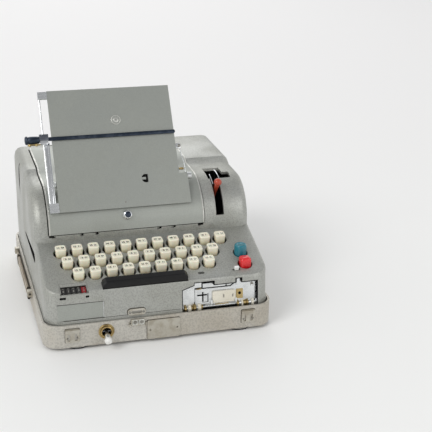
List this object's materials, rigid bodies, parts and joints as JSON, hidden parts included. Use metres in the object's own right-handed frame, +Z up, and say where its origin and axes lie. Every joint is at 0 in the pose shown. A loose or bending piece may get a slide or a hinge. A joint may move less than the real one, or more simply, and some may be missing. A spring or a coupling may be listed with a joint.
{
  "type": "cipher machine",
  "caption": "Desktop rotor cipher machine: keyboard on a sloping deck, hinged lid over the rotor drum, folding document plate with sliding line ruler, mode lever, tape reader and tray base.",
  "frame": {"origin": "on the ground under the middle of the machine's bounding box", "axes": "+Z up, -Y towards the operator, +X to the operator's right"},
  "size_m": [0.288, 0.3266, 0.267],
  "materials": {
    "tray_paint": "satin enamel over pressed steel",
    "foot_rubber": "matt black rubber",
    "casing_paint": "fine hammered enamel, semi-gloss",
    "lid_paint": "smooth satin enamel",
    "fitting_steel": "dull plated steel",
    "bright_steel": "bright machined steel",
    "knob_chrome": "chrome",
    "brass": "satin brass",
    "strap_leather": "worn brown leather",
    "key_cream": "glossy cream plastic",
    "bar_black": "glossy black plastic",
    "key_teal": "glossy teal plastic",
    "key_red": "glossy red plastic",
    "lever_red": "red-orange enamel",
    "knob_white": "glossy white plastic",
    "ruler_dark": "dark blue-black steel",
    "gate_cream": "cream enamel",
    "wheel_black": "black number wheels",
    "frame_grey": "grey primer on steel",
    "motor_dark": "dark green-grey enamel"
  },
  "bodies": {
    "machine": {"base_tray": "tray_paint", "tray_feet": "foot_rubber", "front_plate": "fitting_steel", "tray_lugs": "fitting_steel", "catch_keeper": "fitting_steel", "switch_collar": "brass", "casing": "casing_paint", "counter_frame": "fitting_steel", "reader_plate": "bright_steel", "chassis": "frame_grey", "rotor_axle": "bright_steel", "drive_motor": "motor_dark"},
    "front_catch": {"front_catch": "fitting_steel"},
    "carry_handle": {"carry_handle": "strap_leather"},
    "switch_lever": {"switch_lever": "knob_white"},
    "lid": {"rotor_lid": "lid_paint", "lid_pins": "bright_steel"},
    "lid_knob": {"lid_knob": "knob_chrome"},
    "document_plate": {"document_plate": "lid_paint", "plate_rail": "bright_steel"},
    "line_ruler": {"line_ruler": "ruler_dark"},
    "mode_lever": {"mode_lever": "lever_red"},
    "space_bar": {"space_bar": "bar_black"},
    "start_key": {"start_key": "key_teal"},
    "stop_key": {"stop_key": "key_red"},
    "slide_switch": {"slide_switch": "knob_white"},
    "counter_wheels": {"counter_wheels": "wheel_black"},
    "tape_gate": {"tape_gate": "gate_cream"},
    "feed_rollers": {"feed_rollers": "brass"},
    "rotor_drum": {"rotor_drum": "brass"},
    "key_01": {"key_01": "key_cream"},
    "key_02": {"key_02": "key_cream"},
    "key_03": {"key_03": "key_cream"},
    "key_04": {"key_04": "key_cream"},
    "key_05": {"key_05": "key_cream"},
    "key_06": {"key_06": "key_cream"},
    "key_07": {"key_07": "key_cream"},
    "key_08": {"key_08": "key_cream"},
    "key_09": {"key_09": "key_cream"},
    "key_10": {"key_10": "key_cream"},
    "key_11": {"key_11": "key_cream"},
    "key_12": {"key_12": "key_cream"},
    "key_13": {"key_13": "key_cream"},
    "key_14": {"key_14": "key_cream"},
    "key_15": {"key_15": "key_cream"},
    "key_16": {"key_16": "key_cream"},
    "key_17": {"key_17": "key_cream"},
    "key_18": {"key_18": "key_cream"},
    "key_19": {"key_19": "key_cream"},
    "key_20": {"key_20": "key_cream"},
    "key_21": {"key_21": "key_cream"},
    "key_22": {"key_22": "key_cream"},
    "key_23": {"key_23": "key_cream"},
    "key_24": {"key_24": "key_cream"},
    "key_25": {"key_25": "key_cream"},
    "key_26": {"key_26": "key_cream"},
    "key_27": {"key_27": "key_cream"},
    "key_28": {"key_28": "key_cream"},
    "key_29": {"key_29": "key_cream"},
    "key_30": {"key_30": "key_cream"}
  },
  "joints": [
    {"name": "catch_hinge", "type": "hinge", "parent": "machine", "child": "front_catch", "pos_m": [-0.027, -0.14863, 0.0258], "axis": [1, 0, 0], "range_deg": [0, 90]},
    {"name": "handle_hinge", "type": "hinge", "parent": "machine", "child": "carry_handle", "pos_m": [-0.141, 0.03327, 0.0278], "axis": [0, 1, 0], "range_deg": [0, 90]},
    {"name": "switch_pivot", "type": "hinge", "parent": "machine", "child": "switch_lever", "pos_m": [-0.0645, -0.14573, 0.0205], "axis": [-1, 0, 0], "range_deg": [0, 51]},
    {"name": "lid_hinge", "type": "hinge", "parent": "machine", "child": "lid", "pos_m": [-0.018, 0.13227, 0.159], "axis": [-1, 0, 0], "range_deg": [0, 95]},
    {"name": "lid_knob_turn", "type": "hinge", "parent": "lid", "child": "lid_knob", "pos_m": [-0.018, -0.00073, 0.106], "axis": [0, -0.9173, 0.3981], "range_deg": [-90, 0]},
    {"name": "plate_fold", "type": "hinge", "parent": "lid", "child": "document_plate", "pos_m": [-0.018, -0.02519, 0.16392], "axis": [-1, 0, 0], "range_deg": [0, 57]},
    {"name": "ruler_slide", "type": "slide", "parent": "document_plate", "child": "line_ruler", "axis": [0, 0.5446, 0.8387], "range_m": [-0.0745, 0.0455]},
    {"name": "mode_lever_swing", "type": "hinge", "parent": "machine", "child": "mode_lever", "pos_m": [0.1018, -0.00073, 0.106], "axis": [1, 0, 0], "range_deg": [-45, 37]},
    {"name": "space_bar_press", "type": "slide", "parent": "machine", "child": "space_bar", "axis": [0, 0.3107, -0.9505], "range_m": [0, 0.0045], "stiffness_N_per_m": 150, "springref_m": -0.005},
    {"name": "start_key_press", "type": "slide", "parent": "machine", "child": "start_key", "axis": [0, 0, -1], "range_m": [0, 0.0045], "stiffness_N_per_m": 120, "springref_m": -0.004},
    {"name": "stop_key_press", "type": "slide", "parent": "machine", "child": "stop_key", "axis": [0, 0, -1], "range_m": [0, 0.0045], "stiffness_N_per_m": 120, "springref_m": -0.004},
    {"name": "slide_switch_move", "type": "slide", "parent": "machine", "child": "slide_switch", "axis": [1, 0, 0], "range_m": [-0.0028, 0.0028]},
    {"name": "counter_spin", "type": "hinge", "parent": "machine", "child": "counter_wheels", "pos_m": [-0.0998, -0.12871, 0.06556], "axis": [1, 0, 0], "continuous": true},
    {"name": "gate_hinge", "type": "hinge", "parent": "machine", "child": "tape_gate", "pos_m": [0.082, -0.13828, 0.03907], "axis": [1, 0, 0], "range_deg": [0, 80]},
    {"name": "roller_spin", "type": "hinge", "parent": "machine", "child": "feed_rollers", "pos_m": [0.077, -0.137, 0.03392], "axis": [1, 0, 0], "continuous": true},
    {"name": "drum_spin", "type": "hinge", "parent": "machine", "child": "rotor_drum", "pos_m": [-0.0105, -0.00073, 0.106], "axis": [1, 0, 0], "continuous": true},
    {"name": "key_01_press", "type": "slide", "parent": "machine", "child": "key_01", "axis": [0, 0, -1], "range_m": [0, 0.0045], "stiffness_N_per_m": 120, "springref_m": -0.004},
    {"name": "key_02_press", "type": "slide", "parent": "machine", "child": "key_02", "axis": [0, 0, -1], "range_m": [0, 0.0045], "stiffness_N_per_m": 120, "springref_m": -0.004},
    {"name": "key_03_press", "type": "slide", "parent": "machine", "child": "key_03", "axis": [0, 0, -1], "range_m": [0, 0.0045], "stiffness_N_per_m": 120, "springref_m": -0.004},
    {"name": "key_04_press", "type": "slide", "parent": "machine", "child": "key_04", "axis": [0, 0, -1], "range_m": [0, 0.0045], "stiffness_N_per_m": 120, "springref_m": -0.004},
    {"name": "key_05_press", "type": "slide", "parent": "machine", "child": "key_05", "axis": [0, 0, -1], "range_m": [0, 0.0045], "stiffness_N_per_m": 120, "springref_m": -0.004},
    {"name": "key_06_press", "type": "slide", "parent": "machine", "child": "key_06", "axis": [0, 0, -1], "range_m": [0, 0.0045], "stiffness_N_per_m": 120, "springref_m": -0.004},
    {"name": "key_07_press", "type": "slide", "parent": "machine", "child": "key_07", "axis": [0, 0, -1], "range_m": [0, 0.0045], "stiffness_N_per_m": 120, "springref_m": -0.004},
    {"name": "key_08_press", "type": "slide", "parent": "machine", "child": "key_08", "axis": [0, 0, -1], "range_m": [0, 0.0045], "stiffness_N_per_m": 120, "springref_m": -0.004},
    {"name": "key_09_press", "type": "slide", "parent": "machine", "child": "key_09", "axis": [0, 0, -1], "range_m": [0, 0.0045], "stiffness_N_per_m": 120, "springref_m": -0.004},
    {"name": "key_10_press", "type": "slide", "parent": "machine", "child": "key_10", "axis": [0, 0, -1], "range_m": [0, 0.0045], "stiffness_N_per_m": 120, "springref_m": -0.004},
    {"name": "key_11_press", "type": "slide", "parent": "machine", "child": "key_11", "axis": [0, 0, -1], "range_m": [0, 0.0045], "stiffness_N_per_m": 120, "springref_m": -0.004},
    {"name": "key_12_press", "type": "slide", "parent": "machine", "child": "key_12", "axis": [0, 0, -1], "range_m": [0, 0.0045], "stiffness_N_per_m": 120, "springref_m": -0.004},
    {"name": "key_13_press", "type": "slide", "parent": "machine", "child": "key_13", "axis": [0, 0, -1], "range_m": [0, 0.0045], "stiffness_N_per_m": 120, "springref_m": -0.004},
    {"name": "key_14_press", "type": "slide", "parent": "machine", "child": "key_14", "axis": [0, 0, -1], "range_m": [0, 0.0045], "stiffness_N_per_m": 120, "springref_m": -0.004},
    {"name": "key_15_press", "type": "slide", "parent": "machine", "child": "key_15", "axis": [0, 0, -1], "range_m": [0, 0.0045], "stiffness_N_per_m": 120, "springref_m": -0.004},
    {"name": "key_16_press", "type": "slide", "parent": "machine", "child": "key_16", "axis": [0, 0, -1], "range_m": [0, 0.0045], "stiffness_N_per_m": 120, "springref_m": -0.004},
    {"name": "key_17_press", "type": "slide", "parent": "machine", "child": "key_17", "axis": [0, 0, -1], "range_m": [0, 0.0045], "stiffness_N_per_m": 120, "springref_m": -0.004},
    {"name": "key_18_press", "type": "slide", "parent": "machine", "child": "key_18", "axis": [0, 0, -1], "range_m": [0, 0.0045], "stiffness_N_per_m": 120, "springref_m": -0.004},
    {"name": "key_19_press", "type": "slide", "parent": "machine", "child": "key_19", "axis": [0, 0, -1], "range_m": [0, 0.0045], "stiffness_N_per_m": 120, "springref_m": -0.004},
    {"name": "key_20_press", "type": "slide", "parent": "machine", "child": "key_20", "axis": [0, 0, -1], "range_m": [0, 0.0045], "stiffness_N_per_m": 120, "springref_m": -0.004},
    {"name": "key_21_press", "type": "slide", "parent": "machine", "child": "key_21", "axis": [0, 0, -1], "range_m": [0, 0.0045], "stiffness_N_per_m": 120, "springref_m": -0.004},
    {"name": "key_22_press", "type": "slide", "parent": "machine", "child": "key_22", "axis": [0, 0, -1], "range_m": [0, 0.0045], "stiffness_N_per_m": 120, "springref_m": -0.004},
    {"name": "key_23_press", "type": "slide", "parent": "machine", "child": "key_23", "axis": [0, 0, -1], "range_m": [0, 0.0045], "stiffness_N_per_m": 120, "springref_m": -0.004},
    {"name": "key_24_press", "type": "slide", "parent": "machine", "child": "key_24", "axis": [0, 0, -1], "range_m": [0, 0.0045], "stiffness_N_per_m": 120, "springref_m": -0.004},
    {"name": "key_25_press", "type": "slide", "parent": "machine", "child": "key_25", "axis": [0, 0, -1], "range_m": [0, 0.0045], "stiffness_N_per_m": 120, "springref_m": -0.004},
    {"name": "key_26_press", "type": "slide", "parent": "machine", "child": "key_26", "axis": [0, 0, -1], "range_m": [0, 0.0045], "stiffness_N_per_m": 120, "springref_m": -0.004},
    {"name": "key_27_press", "type": "slide", "parent": "machine", "child": "key_27", "axis": [0, 0, -1], "range_m": [0, 0.0045], "stiffness_N_per_m": 120, "springref_m": -0.004},
    {"name": "key_28_press", "type": "slide", "parent": "machine", "child": "key_28", "axis": [0, 0, -1], "range_m": [0, 0.0045], "stiffness_N_per_m": 120, "springref_m": -0.004},
    {"name": "key_29_press", "type": "slide", "parent": "machine", "child": "key_29", "axis": [0, 0, -1], "range_m": [0, 0.0045], "stiffness_N_per_m": 120, "springref_m": -0.004},
    {"name": "key_30_press", "type": "slide", "parent": "machine", "child": "key_30", "axis": [0, 0, -1], "range_m": [0, 0.0045], "stiffness_N_per_m": 120, "springref_m": -0.004}
  ]
}
